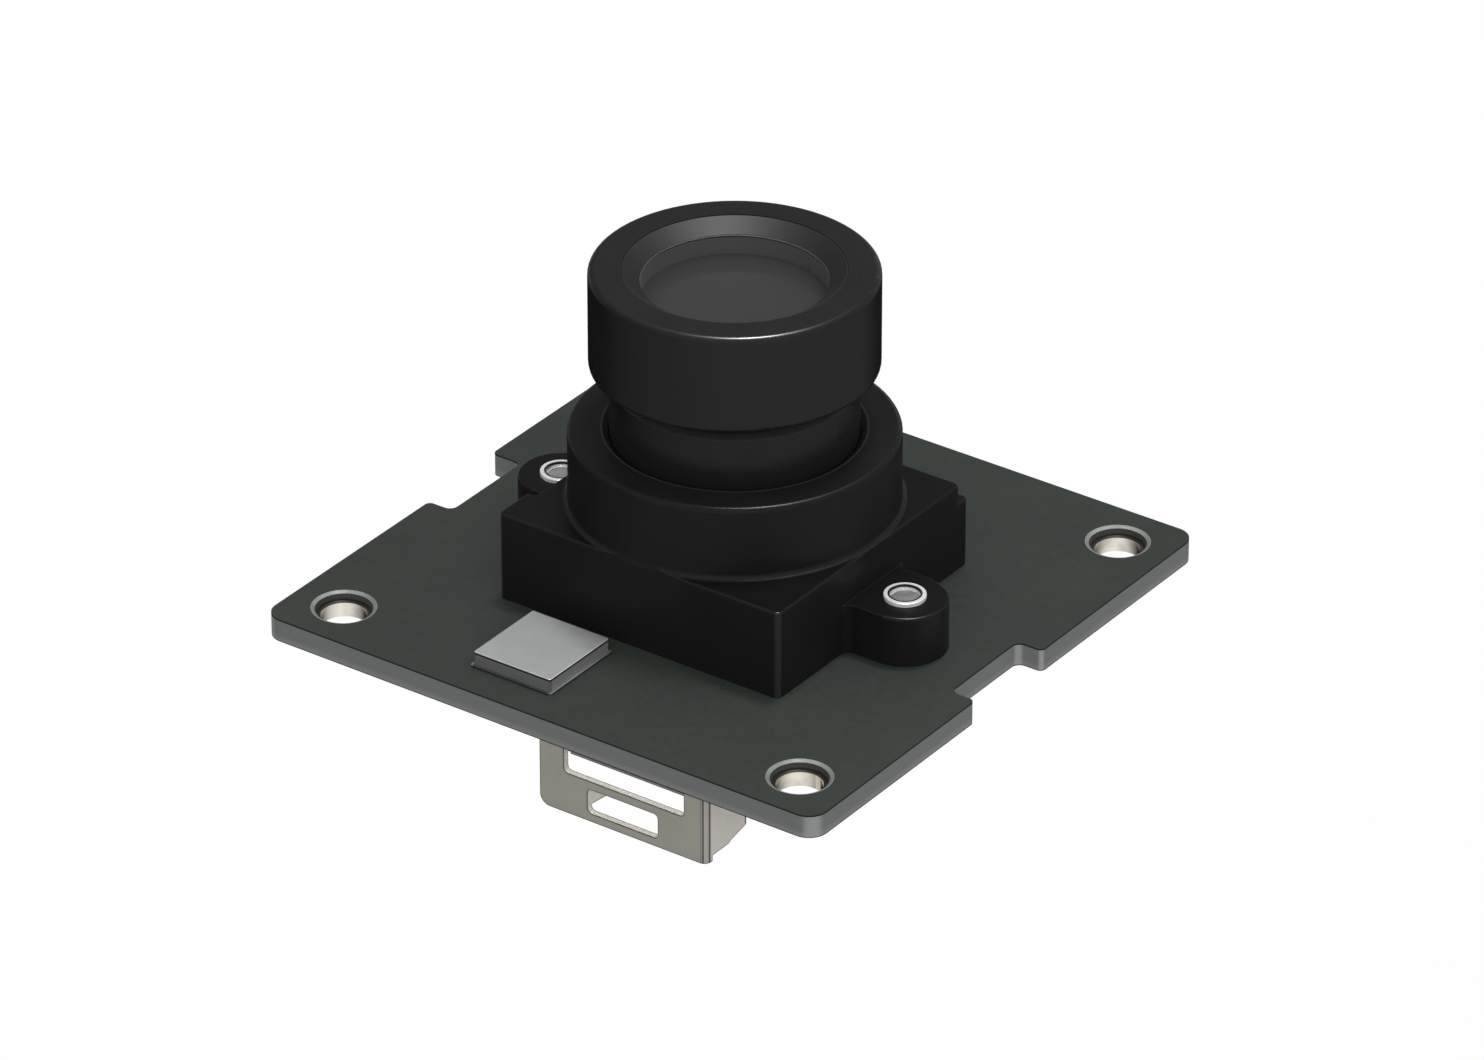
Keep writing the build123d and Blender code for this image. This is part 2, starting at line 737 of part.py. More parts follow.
with BuildPart() as crystal_lid:
    block(*crystal_spot, crystal_length - 2 * crystal_lid_inset,
          crystal_width - 2 * crystal_lid_inset, crystal_lid_height, crystal_height)
    fillet(crystal_lid.edges().filter_by(Axis.Z), 0.25)
    fillet(crystal_lid.faces().sort_by(Axis.Z)[0].edges(), 0.08)
save(crystal_lid, "crystal_lid")

with BuildPart() as coil_cores:
    for spot in coil_spots:
        block(*spot, coil_width, coil_width, coil_plate)
        block(*spot, coil_width, coil_width, coil_plate, coil_height - coil_plate)
        with Locations((*spot, -coil_height / 2)):
            Cylinder(coil_hub_width / 2, coil_height - coil_plate)
save(coil_cores, "coil_cores")

with BuildPart() as coil_windings:
    for spot in coil_spots:
        with Locations((*spot, -coil_height / 2)):
            Cylinder(winding_width / 2, winding_height)
            Cylinder(coil_hub_width / 2, winding_height, mode=Mode.SUBTRACT)
save(coil_windings, "coil_windings")

with BuildPart() as regulator_bodies:
    for x, y in regulator_spots:
        block(x, y, regulator_width, regulator_length, regulator_height, chip_stand_off)
    chamfer(regulator_bodies.faces().sort_by(Axis.Z)[:2].edges(), 0.12)
save(regulator_bodies, "regulator_bodies")

with BuildPart() as regulator_leads:
    for x, y in regulator_spots:
        for side, rows in ((-1, (-1, 0, 1)), (1, (-1, 1))):
            for row in rows:
                add(gull_lead(x + side * regulator_width / 2, y + row * regulator_pitch, side,
                              regulator_lead, regulator_lead_rise, regulator_lead_knee,
                              regulator_lead_end, regulator_lead_thick))
save(regulator_leads, "regulator_leads")

capacitor_rim = processor_width / 2 + capacitor_gap
capacitor_rows = [(place - 1.5) * capacitor_pitch for place in range(4)]
capacitor_spots = [(processor_x - capacitor_rim, processor_y + capacitor_slide_left + y, 90)
                   for y in capacitor_rows]
capacitor_spots += [(processor_x + capacitor_rim, processor_y + capacitor_slide_right + y, 90)
                    for y in capacitor_rows]
capacitor_spots += [(processor_x + y, processor_y + side * capacitor_rim, 0)
                    for side in (-1, 1) for y in capacitor_rows]
resistor_spots = [(-10.8, -9.6, 90), (-9.4, -9.6, 90), (-4.0, -9.2, 0), (-4.0, -10.6, 0),
                  (6.4, -8.6, 90), (12.6, 4.2, 90), (12.6, 6.0, 90), (-12.6, 10.6, 0)]


def chip_parts(spots, length, width, height, end):
    """Bodies and soldered ends of a set of two-ended chips, as two separate pieces."""
    with BuildPart() as bodies:
        for x, y, turn in spots:
            with Locations(Location((x, y, 0), (0, 0, turn))):
                Box(length - 2 * end, width, height, align=(Align.CENTER, Align.CENTER, Align.MAX))
    with BuildPart() as ends:
        for x, y, turn in spots:
            with Locations(Location((x, y, 0), (0, 0, turn))):
                with Locations((-(length - end) / 2, 0, 0), ((length - end) / 2, 0, 0)):
                    Box(end, width, height, align=(Align.CENTER, Align.CENTER, Align.MAX))
    return bodies, ends


capacitor_bodies, capacitor_ends = chip_parts(capacitor_spots, *capacitor_size)
save(capacitor_bodies, "capacitor_bodies")
save(capacitor_ends, "capacitor_ends")
resistor_bodies, resistor_ends = chip_parts(resistor_spots, *resistor_size)
save(resistor_bodies, "resistor_bodies")
save(resistor_ends, "resistor_ends")


# Cable socket at the back edge of the underside, open to the back
socket_back = plug_y + plug_depth / 2
socket_front = plug_y - plug_depth / 2
cavity_height = plug_height - 2 * plug_wall
with BuildPart() as socket_housing:
    block(0, plug_y, plug_width, plug_depth, plug_height)
    with Locations((0, socket_back, -plug_height / 2)):
        Box(plug_width - 2 * plug_wall, plug_depth - plug_wall, cavity_height,
            align=(Align.CENTER, Align.MAX, Align.CENTER), mode=Mode.SUBTRACT)
    contact_places = [(place - (contact_count - 1) / 2) * contact_pitch
                      for place in range(contact_count)]
    with Locations(*[(x, socket_front, -plug_height / 2) for x in contact_places]):
        Box(contact_width, plug_wall, contact_width, mode=Mode.SUBTRACT,
            align=(Align.CENTER, Align.MIN, Align.CENTER))
save(socket_housing, "socket_housing")

with BuildPart() as socket_contacts:
    for x in contact_places:
        with Locations((x, socket_front - 0.9, -plug_height / 2)):
            Box(contact_width, plug_depth - 0.3, contact_width,
                align=(Align.CENTER, Align.MIN, Align.CENTER))
        with Locations((x, socket_front - 0.9, 0)):
            Box(contact_width, contact_width, plug_height / 2,
                align=(Align.CENTER, Align.MIN, Align.MAX))
        with Locations((x, socket_front - 1.5, 0)):
            Box(contact_width, 0.8, 0.2, align=(Align.CENTER, Align.MIN, Align.MAX))
save(socket_contacts, "socket_contacts")

with BuildPart() as socket_anchors:
    for side in (-1, 1):
        with Locations((side * plug_width / 2, plug_y + anchor_shift, 0)):
            edge = Align.MIN if side > 0 else Align.MAX
            Box(anchor_sheet, anchor_length, anchor_height,
                align=(edge, Align.CENTER, Align.MAX))
            Box(anchor_foot, anchor_length, anchor_sheet,
                align=(edge, Align.CENTER, Align.MAX))
save(socket_anchors, "socket_anchors")
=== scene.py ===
# %% [markdown]
# Board camera: a lens screwed into a black holder, on a small square circuit board.
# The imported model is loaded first. Its parts are already at their real size and place, so this
# script only gives them their finishes, adds the fine pieces that are too small for the solids
# (solder, wire turns, a fine thread), and sets the light and the camera.

# %% Load the model
import math

import bmesh
import bpy
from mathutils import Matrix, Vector


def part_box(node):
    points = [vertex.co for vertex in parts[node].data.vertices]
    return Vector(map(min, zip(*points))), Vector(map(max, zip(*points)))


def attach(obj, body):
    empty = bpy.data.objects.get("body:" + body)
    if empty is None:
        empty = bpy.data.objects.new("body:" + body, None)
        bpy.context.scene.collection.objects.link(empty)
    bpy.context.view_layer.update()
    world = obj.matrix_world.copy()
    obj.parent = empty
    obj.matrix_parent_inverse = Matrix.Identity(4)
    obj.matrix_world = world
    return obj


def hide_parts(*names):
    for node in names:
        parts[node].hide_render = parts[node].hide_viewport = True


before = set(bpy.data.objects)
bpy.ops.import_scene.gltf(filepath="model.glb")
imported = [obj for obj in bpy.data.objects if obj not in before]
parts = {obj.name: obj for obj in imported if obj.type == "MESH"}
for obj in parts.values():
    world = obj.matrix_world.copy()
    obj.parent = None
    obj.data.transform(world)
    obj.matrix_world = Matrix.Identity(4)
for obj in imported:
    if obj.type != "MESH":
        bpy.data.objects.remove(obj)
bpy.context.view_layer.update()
MM = 0.001

# %% [markdown]
# Some patterns belong to one place on the part, such as the edge of the lens bore. These are the
# places they refer to, all in millimetres from the underside of the board and the middle of its
# four corner holes.

# %% Places on the part
LENS_X, LENS_Y = 0.35, -0.35
BOARD_TOP, CORNER_HOLE = 1.2, 13.25
EAR_REACH, EAR_SHIFT, INSERT_BORE = 10.05, 0.3, 1.48
EAR_TOP, BASE_TOP, BOSS_TOP, NECK_TOP = 3.8, 5.82, 9.62, 12.4
BORE_RADIUS, BOSS_RADIUS = 6.0, 7.95
print(f"lens axis at {LENS_X}, {LENS_Y} mm, boss up to {BOSS_TOP} mm")

# %% [markdown]
# A finish is a tree of shader nodes. Written as node calls, even a short sum fills a screen, so
# three small classes hide that. A Signal is one output socket that can be added, multiplied or
# compared like a number. Nodes is any tree, with one method, `add`, for every node that isn't a
# sum. A Finish is such a tree that owns a material. Patterns read Object coordinates turned into
# millimetres, so that a texture's scale can be read as a size on the part.

# %% Shader helpers
class Signal:
    """One output socket of a tree, used in sums like a number."""

    def __init__(self, owner, socket):
        self.owner = owner
        self.socket = socket

    def math(self, operation, first, second=None):
        sockets = {0: first} if second is None else {0: first, 1: second}
        return self.owner.add("ShaderNodeMath", {"operation": operation}, sockets)

    def sine(self):
        return self.math("SINE", self)

    def at_least(self, floor):
        return self.math("MAXIMUM", self, floor)

    def __add__(self, other):
        return self.math("ADD", self, other)

    def __radd__(self, other):
        return self.math("ADD", other, self)

    def __sub__(self, other):
        return self.math("SUBTRACT", self, other)

    def __rsub__(self, other):
        return self.math("SUBTRACT", other, self)

    def __mul__(self, other):
        return self.math("MULTIPLY", self, other)

    def __rmul__(self, other):
        return self.math("MULTIPLY", other, self)

    def __pow__(self, other):
        return self.math("POWER", self, other)

    def __abs__(self):
        return self.math("ABSOLUTE", self)

    def __lt__(self, other):
        return self.math("LESS_THAN", self, other)

    def __gt__(self, other):
        return self.math("GREATER_THAN", self, other)

    def ramp(self, low, high):
        """0 below `low`, 1 above `high`, and smooth between them."""
        settings = {"interpolation_type": "SMOOTHSTEP"}
        return self.owner.add("ShaderNodeMapRange", settings, {0: self, 1: low, 2: high})


class Nodes:
    """A tree of nodes under construction."""

    def __init__(self, tree):
        self.tree = tree
        self.tree.nodes.clear()

    def add(self, kind, settings=None, sockets=None, out=0):
        """A node of any kind: its settings first, then its sockets, and one output back."""
        node = self.tree.nodes.new(kind)
        for name, value in (settings or {}).items():
            setattr(node, name, value)
        for name, value in (sockets or {}).items():
            if isinstance(value, Signal):
                self.tree.links.new(value.socket, node.inputs[name])
            else:
                node.inputs[name].default_value = value
        return Signal(self, node.outputs[out])


class Finish(Nodes):
    """A material under construction."""

    def __init__(self, name):
        self.material = bpy.data.materials.new(name)
        self.material.use_nodes = True
        super().__init__(self.material.node_tree)
        coordinates = self.add("ShaderNodeTexCoord", out="Object")
        settings = {"operation": "SCALE"}
        self.place = self.add("ShaderNodeVectorMath", settings, {0: coordinates, 3: 1 / MM})

    def axes(self, vector=None):
        """The three parts of a vector, by default the place in millimetres."""
        split = self.add("ShaderNodeSeparateXYZ", sockets={0: vector or self.place})
        return [Signal(self, socket) for socket in split.socket.node.outputs]

    def noise(self, size, detail, stretch=(1, 1, 1)):
        """Cloudy variation from 0 to 1 with blobs of about `size` millimetres."""
        moved = self.add("ShaderNodeVectorMath", {"operation": "MULTIPLY"},
                         {0: self.place, 1: tuple(1 / times for times in stretch)})
        sockets = {"Vector": moved, "Scale": 1 / size, "Detail": detail, "Roughness": 0.55}
        return self.add("ShaderNodeTexNoise", sockets=sockets)

    def mix(self, factor, first, second):
        """A colour between two colours."""
        settings = {"data_type": "RGBA"}
        return self.add("ShaderNodeMix", settings, {0: factor, 6: first, 7: second}, out=2)

    def bump(self, height, depth):
        """A normal for a relief whose full height is `depth` millimetres."""
        sockets = {"Height": height, "Distance": depth * MM, "Strength": 1.0}
        return self.add("ShaderNodeBump", sockets=sockets)

    def facing(self):
        """The three parts of the direction that a face points in."""
        return self.axes(self.add("ShaderNodeTexCoord", out="Normal"))

    def from_lens_axis(self):
        """The distance from the lens axis in millimetres."""
        x, y, _ = self.axes()
        return ((x - LENS_X) ** 2 + (y - LENS_Y) ** 2) ** 0.5

    def round_corner(self, low, high):
        """1 in the middle of an upright rounded corner, falling to 0 at its flat sides."""
        x, y, _ = self.facing()
        return (abs(x) * abs(y) * 2).ramp(low, high)

    def edges(self, radius):
        """1 along sharp edges, out to `radius` millimetres from them, and 0 elsewhere."""
        rounded = self.add("ShaderNodeBevel", {"samples": 6}, {"Radius": radius * MM})
        flat = self.add("ShaderNodeNewGeometry", out="Normal")
        same = self.add("ShaderNodeVectorMath", {"operation": "DOT_PRODUCT"},
                        {0: rounded, 1: flat}, out="Value")
        return 1 - same.ramp(0.9, 0.995)

    def surface(self, **values):
        """Ends the tree in one Principled surface and hands back the material."""
        sockets = {name.replace("_", " "): value for name, value in values.items()}
        shader = self.add("ShaderNodeBsdfPrincipled", sockets=sockets)
        output = self.tree.nodes.new("ShaderNodeOutputMaterial")
        self.tree.links.new(shader.socket, output.inputs["Surface"])
        return self.material


def grey(red, green=None, blue=None):
    """A colour from linear red, green and blue, or from one grey level."""
    return (red, red if green is None else green, red if blue is None else blue, 1.0)


def dress(material, *names):
    """Gives a material to whole CAD parts."""
    for name in names:
        parts[name].data.materials.clear()
        parts[name].data.materials.append(material)
    print(f"{material.name}: {', '.join(names)}")


# %% [markdown]
# The board. Solder mask is a thin satin paint over copper and glass cloth: nearly even in colour,
# a little cloudy, with the weave of the cloth just felt underneath. Painted shade runs along every
# edge as a fine dark line.

# %% Solder mask
WEAVE_ACROSS, WEAVE_ALONG = 5.2, 4.6


def solder_mask():
    mask = Finish("solder_mask")
    x, y, _ = mask.axes()
    cloud = mask.noise(6.0, detail=4)
    dust = mask.noise(0.35, detail=2)
    weave = abs((x * WEAVE_ACROSS).sine()) + abs((y * WEAVE_ALONG).sine())
    tone = mask.mix(cloud.ramp(0.3, 0.7), grey(0.030, 0.037, 0.032), grey(0.035, 0.043, 0.037))
    # Painted shade: a fine dark line along every edge.
    tone = mask.mix(mask.edges(0.05), tone, grey(0.008, 0.009, 0.008))
    relief = mask.bump(weave * 0.5 + dust * 0.5, 0.001)
    return mask.surface(Base_Color=tone, Roughness=0.42 + 0.16 * dust, Normal=relief,
                        Specular_IOR_Level=0.09)


# %% [markdown]
# The mask stops at the routed edge, which shows the bare laminate: lighter, in thin layers, with a
# painted highlight on its upright rounded corners. Painted shade lines run along its top and its
# foot.

# %% Bare laminate at the routed edge
def laminate_edge():
    cut = Finish("laminate_edge")
    z = cut.axes()[2]
    fray = cut.noise(0.3, detail=4, stretch=(4, 4, 0.5))
    tone = cut.mix(fray, grey(0.155, 0.166, 0.158), grey(0.19, 0.201, 0.193))
    tone = cut.mix(1 - z.ramp(0.1, 0.45), tone, grey(0.225, 0.236, 0.228))
    # Painted highlight on the upright rounded corners.
    tone = cut.mix(cut.round_corner(0.4, 1.0) * 0.6, tone, grey(0.4, 0.41, 0.4))
    # Painted shade: dark lines along the foot and the top of the routed edge.
    tone = cut.mix(1 - z.ramp(0.03, 0.06), tone, grey(0.02))
    tone = cut.mix(z.ramp(BOARD_TOP - 0.1, BOARD_TOP - 0.06), tone, grey(0.008, 0.009, 0.008))
    return cut.surface(Base_Color=tone, Roughness=0.62 + 0.2 * fray,
                       Normal=cut.bump(fray, 0.002), Specular_IOR_Level=0.15)


# %% [markdown]
# Round each lining the board is countersunk. The cone is bare and dark, with painted shadow at its
# foot.

# %% Mouths of the corner holes
def hole_mouth():
    cone = Finish("hole_mouth")
    z = cone.axes()[2]
    grain = cone.noise(0.2, detail=3)
    # Painted shadow: the cone goes nearly black towards its foot, by the lining.
    tone = cone.mix(z.ramp(0.84, 0.92), grey(0.006), grey(0.042, 0.042, 0.038))
    return cone.surface(Base_Color=tone, Roughness=0.5 + 0.1 * grain, Specular_IOR_Level=0.15)


# %% [markdown]
# Three materials share the one part, chosen face by face, because a pattern could not tell the
# routed edge from the walls of the holes. The routed edge is upright and lies outside. A cone
# slopes and lies near a hole. Everything else keeps its mask.

# %% Faces of the board
MASK, ROUTED, MOUTH = 0, 1, 2
HOLE_ZONE, EDGE_ZONE, MOUTH_DEPTH = 1.8 * MM, 1.5 * MM, 0.45 * MM

dress(solder_mask(), "circuit_board")
board = parts["circuit_board"]
board.data.materials.append(laminate_edge())
board.data.materials.append(hole_mouth())
board_low, board_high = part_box("circuit_board")
counts = [0, 0, 0]
for face in board.data.polygons:
    spot = face.center
    from_hole = math.hypot(abs(spot.x) - CORNER_HOLE * MM, abs(spot.y) - CORNER_HOLE * MM)
    outside = max(abs(spot.x), abs(spot.y)) > board_high.x - EDGE_ZONE
    kind = MASK
    if abs(face.normal.z) < 0.5 and outside and from_hole > HOLE_ZONE:
        kind = ROUTED
    elif spot.z > board_high.z - MOUTH_DEPTH and face.normal.z < 0.95 and from_hole < HOLE_ZONE:
        kind = MOUTH
    face.material_index = kind
    counts[kind] += 1
print(f"faces: {counts[MASK]} masked, {counts[ROUTED]} routed, {counts[MOUTH]} in the mouths")

# %% [markdown]
# The corner holes are lined with a turned metal bush, warm in colour, inside a dull tinned ring.
# Turned metal is never even: each pass of the tool leaves a faint ring. A fine wave along the
# axis gives that, as bump. Painted shade darkens the linings at their top rim.

# %% Turned linings
def turned_metal(name, colour, rough, depth=0.0012, metallic=1.0, painted_shade_above=None):
    ring_size = 0.07
    metal = Finish(name)
    z = metal.axes()[2]
    rings = (z * (2 * math.pi / ring_size)).sine()
    stain = metal.noise(0.8, detail=4)
    dark = grey(*[0.72 * c for c in colour])
    tone = metal.mix(stain.ramp(0.35, 0.75), grey(*colour), dark)
    # Painted shade: near black above the given height.
    if painted_shade_above is not None:
        tone = metal.mix((z > painted_shade_above) * 0.9, tone, grey(0.02))
    return metal.surface(Base_Color=tone, Metallic=metallic, Roughness=rough + 0.18 * stain,
                         Normal=metal.bump(rings * 0.5 + stain, depth))


dress(turned_metal("bushing_metal", (0.82, 0.77, 0.67), 0.14, depth=0.0004, painted_shade_above=0.74),
      "hole_bushings")
dress(turned_metal("land_tin", (0.125, 0.132, 0.125), 0.6, metallic=0.3), "hole_lands")

# %% [markdown]
# The screws are zinc plated. Their cut ends, at the bottom of the bright inserts, are painted darker
# as shade. The inserts were faced on a lathe: each has rings about its own axis, painted shade in
# its bore and a fine painted shade line round its mouth.

# %% Screws and inserts
FACING_CUTS = 70


def screw_steel():
    metal = Finish("screw_steel")
    z = metal.axes()[2]
    stain = metal.noise(0.5, detail=4)
    tone = metal.mix(stain, grey(0.55, 0.55, 0.54), grey(0.42, 0.42, 0.41))
    # Painted shade: the upper ends of the screws, down in the inserts, are darker.
    tone = metal.mix(z > EAR_TOP - 0.8, tone, grey(0.26))
    return metal.surface(Base_Color=tone, Metallic=0.9, Roughness=0.26 + 0.15 * stain,
                         Normal=metal.bump(stain, 0.002))


def insert_metal():
    metal = Finish("insert_metal")
    x, y, z = metal.axes()
    from_axis = ((abs(x - LENS_X) - EAR_REACH) ** 2 + (y - LENS_Y + EAR_SHIFT) ** 2) ** 0.5
    turns = (from_axis * FACING_CUTS).sine()
    stain = metal.noise(0.5, detail=4)
    tone = metal.mix(stain.ramp(0.35, 0.75), grey(1.0, 1.0, 0.99), grey(0.86, 0.86, 0.85))
    # Painted shade: dark inside the bore, and a fine dark line round its mouth.
    bore_shade = 1 - from_axis.ramp(INSERT_BORE / 2 - 0.01, INSERT_BORE / 2 + 0.01)
    rim_shade_line = (abs(from_axis - INSERT_BORE / 2 - 0.03) < 0.06) * (z > EAR_TOP + 0.1)
    tone = metal.mix(bore_shade * 0.55, tone, grey(0.1))
    tone = metal.mix(rim_shade_line, tone, grey(0.01))
    return metal.surface(Base_Color=tone, Metallic=0.2, Roughness=0.2 + 0.12 * stain,
                         Normal=metal.bump(turns * 0.5 + stain * 0.5, 0.0012))


dress(insert_metal(), "ear_inserts")
dress(screw_steel(), "holder_screws")

# %% [markdown]
# Pressed sheet. The lid of the clock and the bracket are thin sheet, and each face takes a lit or
# shaded tone from the way it points: painted light and shade. The grain is fine, a painted shade
# line runs along every edge, and a bend shows as a painted darker strip between two shade lines.
# A face points sideways when its x part is large, and it lies on an upright bend when both its x
# and its y part are there. The table below says where on the bend the two lines lie, as a size of
# the x part, and how far they reach to each side.

# %% Pressed sheet
BEND_SHADE_LINES = ((0.42, 0.08), (0.955, 0.025))


def pressed_metal(name, top, front, side, rough, edge, shade_line_width=0.13, painted_shade_above=None):
    metal = Finish(name)
    z = metal.axes()[2]
    grain = metal.noise(0.12, detail=5)
    cloud = metal.noise(2.2, detail=3)
    x, y, upward = [abs(part) for part in metal.facing()]
    # Painted light and shade: lit and shaded tones of one sheet, chosen by the way each face points.
    tone = metal.mix(upward, grey(*front), grey(*top))
    tone = metal.mix(x.ramp(0.45, 0.55), tone, grey(*side))
    # Painted shade on an upright bend: a darker strip and two dark lines.
    bend = (x > 0.02) * (y > 0.02)
    first, second = [abs(x - place) < reach for place, reach in BEND_SHADE_LINES]
    tone = metal.mix(bend * 0.85, tone, grey(0.26, 0.25, 0.23))
    tone = metal.mix(bend * (first + second) * 0.85, tone, grey(edge))
    tone = metal.mix(0.07 * cloud.ramp(0.3, 0.7), tone, grey(0.0))
    # Painted shade: a dark line along every edge.
    tone = metal.mix(metal.edges(shade_line_width), tone, grey(edge))
    # Painted shade along the top of the upright faces.
    if painted_shade_above is not None:
        tone = metal.mix((z > painted_shade_above) * (upward < 0.3), tone, grey(edge))
    return metal.surface(Base_Color=tone, Metallic=0.6, Roughness=rough + 0.06 * (grain - 0.5),
                         Normal=metal.bump(grain, 0.0003))


# The top, front and side tones below are painted light and shade, and the edge colour is painted
# shade.
dress(pressed_metal("lid_metal", top=(0.26, 0.265, 0.265), front=(0.29, 0.295, 0.295),
                    side=(0.44, 0.445, 0.445), rough=0.42, edge=0.01, shade_line_width=0.04,
                    painted_shade_above=1.9), "clock_lid", "crystal_lid")
dress(pressed_metal("lid_foot", top=(0.1, 0.105, 0.105), front=(0.03, 0.03, 0.03),
                    side=(0.05, 0.05, 0.05), rough=0.5, edge=0.1), "clock_base")
dress(pressed_metal("bracket_metal", top=(0.95, 0.93, 0.88), front=(0.43, 0.42, 0.36),
                    side=(0.88, 0.85, 0.78), rough=0.42, edge=0.015), "slotted_bracket")

# %% [markdown]
# The holder is moulded in black plastic. It is very dark, so the eye reads it by its gloss and
# by the light on its edges. The mould leaves a fine grain. Painted shade makes the low tops the
# darkest faces, and painted highlights lie on the edge of the bore, the corners of the base, the
# foot of the boss and the long edges.

# %% Moulded black plastic
EDGE_BAND = 0.13


def moulded_black(name, level, rough):
    plastic = Finish(name)
    grain = plastic.noise(0.09, detail=2)
    cloud = plastic.noise(4.0, detail=3)
    tone = plastic.mix(cloud, grey(level * 0.85, level * 0.84, level * 0.8), grey(level * 1.15))
    x, y, z = plastic.axes()
    from_axis = plastic.from_lens_axis()
    # Painted light: shade on the low tops, highlights on the bore edge, the base corners, the boss
    # foot and the top edges.
    shaded_low_tops = (plastic.facing()[2] > 0.9) * (z < BASE_TOP + 0.1)
    bore_edge_highlight = (from_axis < BORE_RADIUS + 0.37) * (z > BOSS_TOP - 0.3)
    base_corner_highlight = (abs(x - LENS_X) > 7.0) * (abs(y - LENS_Y) > 6.0) * (z < BASE_TOP)
    boss_foot_highlight = (from_axis < BOSS_RADIUS + 0.25) * (abs(z - BASE_TOP - 0.06) < 0.07)
    highlight_band = (abs(z - BASE_TOP) < EDGE_BAND) + (abs(z - EAR_TOP) < EDGE_BAND)
    painted_light_zones = [(shaded_low_tops, 0.5), (bore_edge_highlight, 2.8), (base_corner_highlight * plastic.round_corner(0.35, 0.9), 2.4),
             (boss_foot_highlight, 1.3), (highlight_band * plastic.edges(0.07), 3.0)]
    for zone, times in painted_light_zones:
        tone = plastic.mix(zone, tone, grey(level * times))
    return plastic.surface(Base_Color=tone, Roughness=rough + 0.12 * (cloud - 0.5),
                           Normal=plastic.bump(grain, 0.001), Specular_IOR_Level=0.07)


dress(moulded_black("holder_plastic", 0.013, 0.32), "lens_holder")
dress(moulded_black("spacer_black", 0.004, 0.7),
      "upper_spacer", "middle_spacer", "lower_spacer", "aperture_stop", "rear_retainer")

# %% [markdown]
# The lens barrel is turned and anodised black, with turning marks that run round it. A thin
# painted highlight runs round the top of its neck, and another along the lower rim of the bezel,
# where it meets the seat of the glass.

# %% Black anodising
TURNING_MARKS = 18


def anodised_black(name, level, rough, metallic=0.0, gloss=0.15, marks=0.01, painted_highlight_below=0.0):
    black = Finish(name)
    z = black.axes()[2]
    from_axis = black.from_lens_axis()
    turns = ((z + from_axis) * TURNING_MARKS).sine()
    cloud = black.noise(3.0, detail=4)
    tone = black.mix(cloud, grey(level * 0.9), grey(level * 1.15, level * 1.13, level * 1.1))
    # Painted highlight below the given height, along the bezel's lower rim.
    tone = black.mix(z < painted_highlight_below, tone, grey(0.35))
    # Painted highlight: a thin lighter line at the top of the neck.
    tone = black.mix(abs(z - NECK_TOP + 0.12) < 0.15, tone, grey(level * 2.6))
    return black.surface(Base_Color=tone, Metallic=metallic,
                         Roughness=rough + 0.1 * (cloud - 0.5) + marks * turns,
                         Specular_IOR_Level=gloss)


dress(anodised_black("barrel_black", 0.013, 0.28), "lens_barrel")
dress(anodised_black("bezel_black", 0.019, 0.55, metallic=0.5, gloss=0.07, marks=0.0,
                     painted_highlight_below=17.45), "front_bezel")
dress(anodised_black("seat_black", 0.13, 0.5, metallic=0.4), "glass_seat_ring")

# %% [markdown]
# Glass. The front element looks like a dark, even disc: its coating turns most light away from
# the eye and the barrel behind it is black. A dark base under a smooth surface gives the same
# look without light having to find its way through four lenses. The elements inside are clear.

# %% Glass
def coated_glass():
    glass = Finish("front_glass")
    haze = glass.noise(2.5, detail=2)
    tone = glass.mix(haze, grey(0.044), grey(0.048))
    return glass.surface(Base_Color=tone, Roughness=0.2 + 0.04 * haze, Specular_IOR_Level=0.28)


def clear_glass(name, colour):
    glass = Finish(name)
    haze = glass.noise(2.0, detail=2)
    tone = glass.mix(haze, grey(*colour), grey(*[0.95 * c for c in colour]))
    return glass.surface(Base_Color=tone, Roughness=0.03 + 0.03 * haze, Transmission_Weight=0.9,
                         IOR=1.52)


dress(coated_glass(), "front_glass")
dress(clear_glass("lens_glass", (0.8, 0.84, 0.84)), "second_lens", "third_lens", "rear_lens")
dress(clear_glass("filter_glass", (0.5, 0.78, 0.82)), "infrared_filter")
dress(clear_glass("cover_glass", (0.85, 0.88, 0.88)), "sensor_cover", "quartz_plate")

# %% [markdown]
# The small parts soldered to the board: chips in black resin, ceramic bodies, tinned leads,
# a nylon socket. Each finish has its own grain, at the scale of the part.

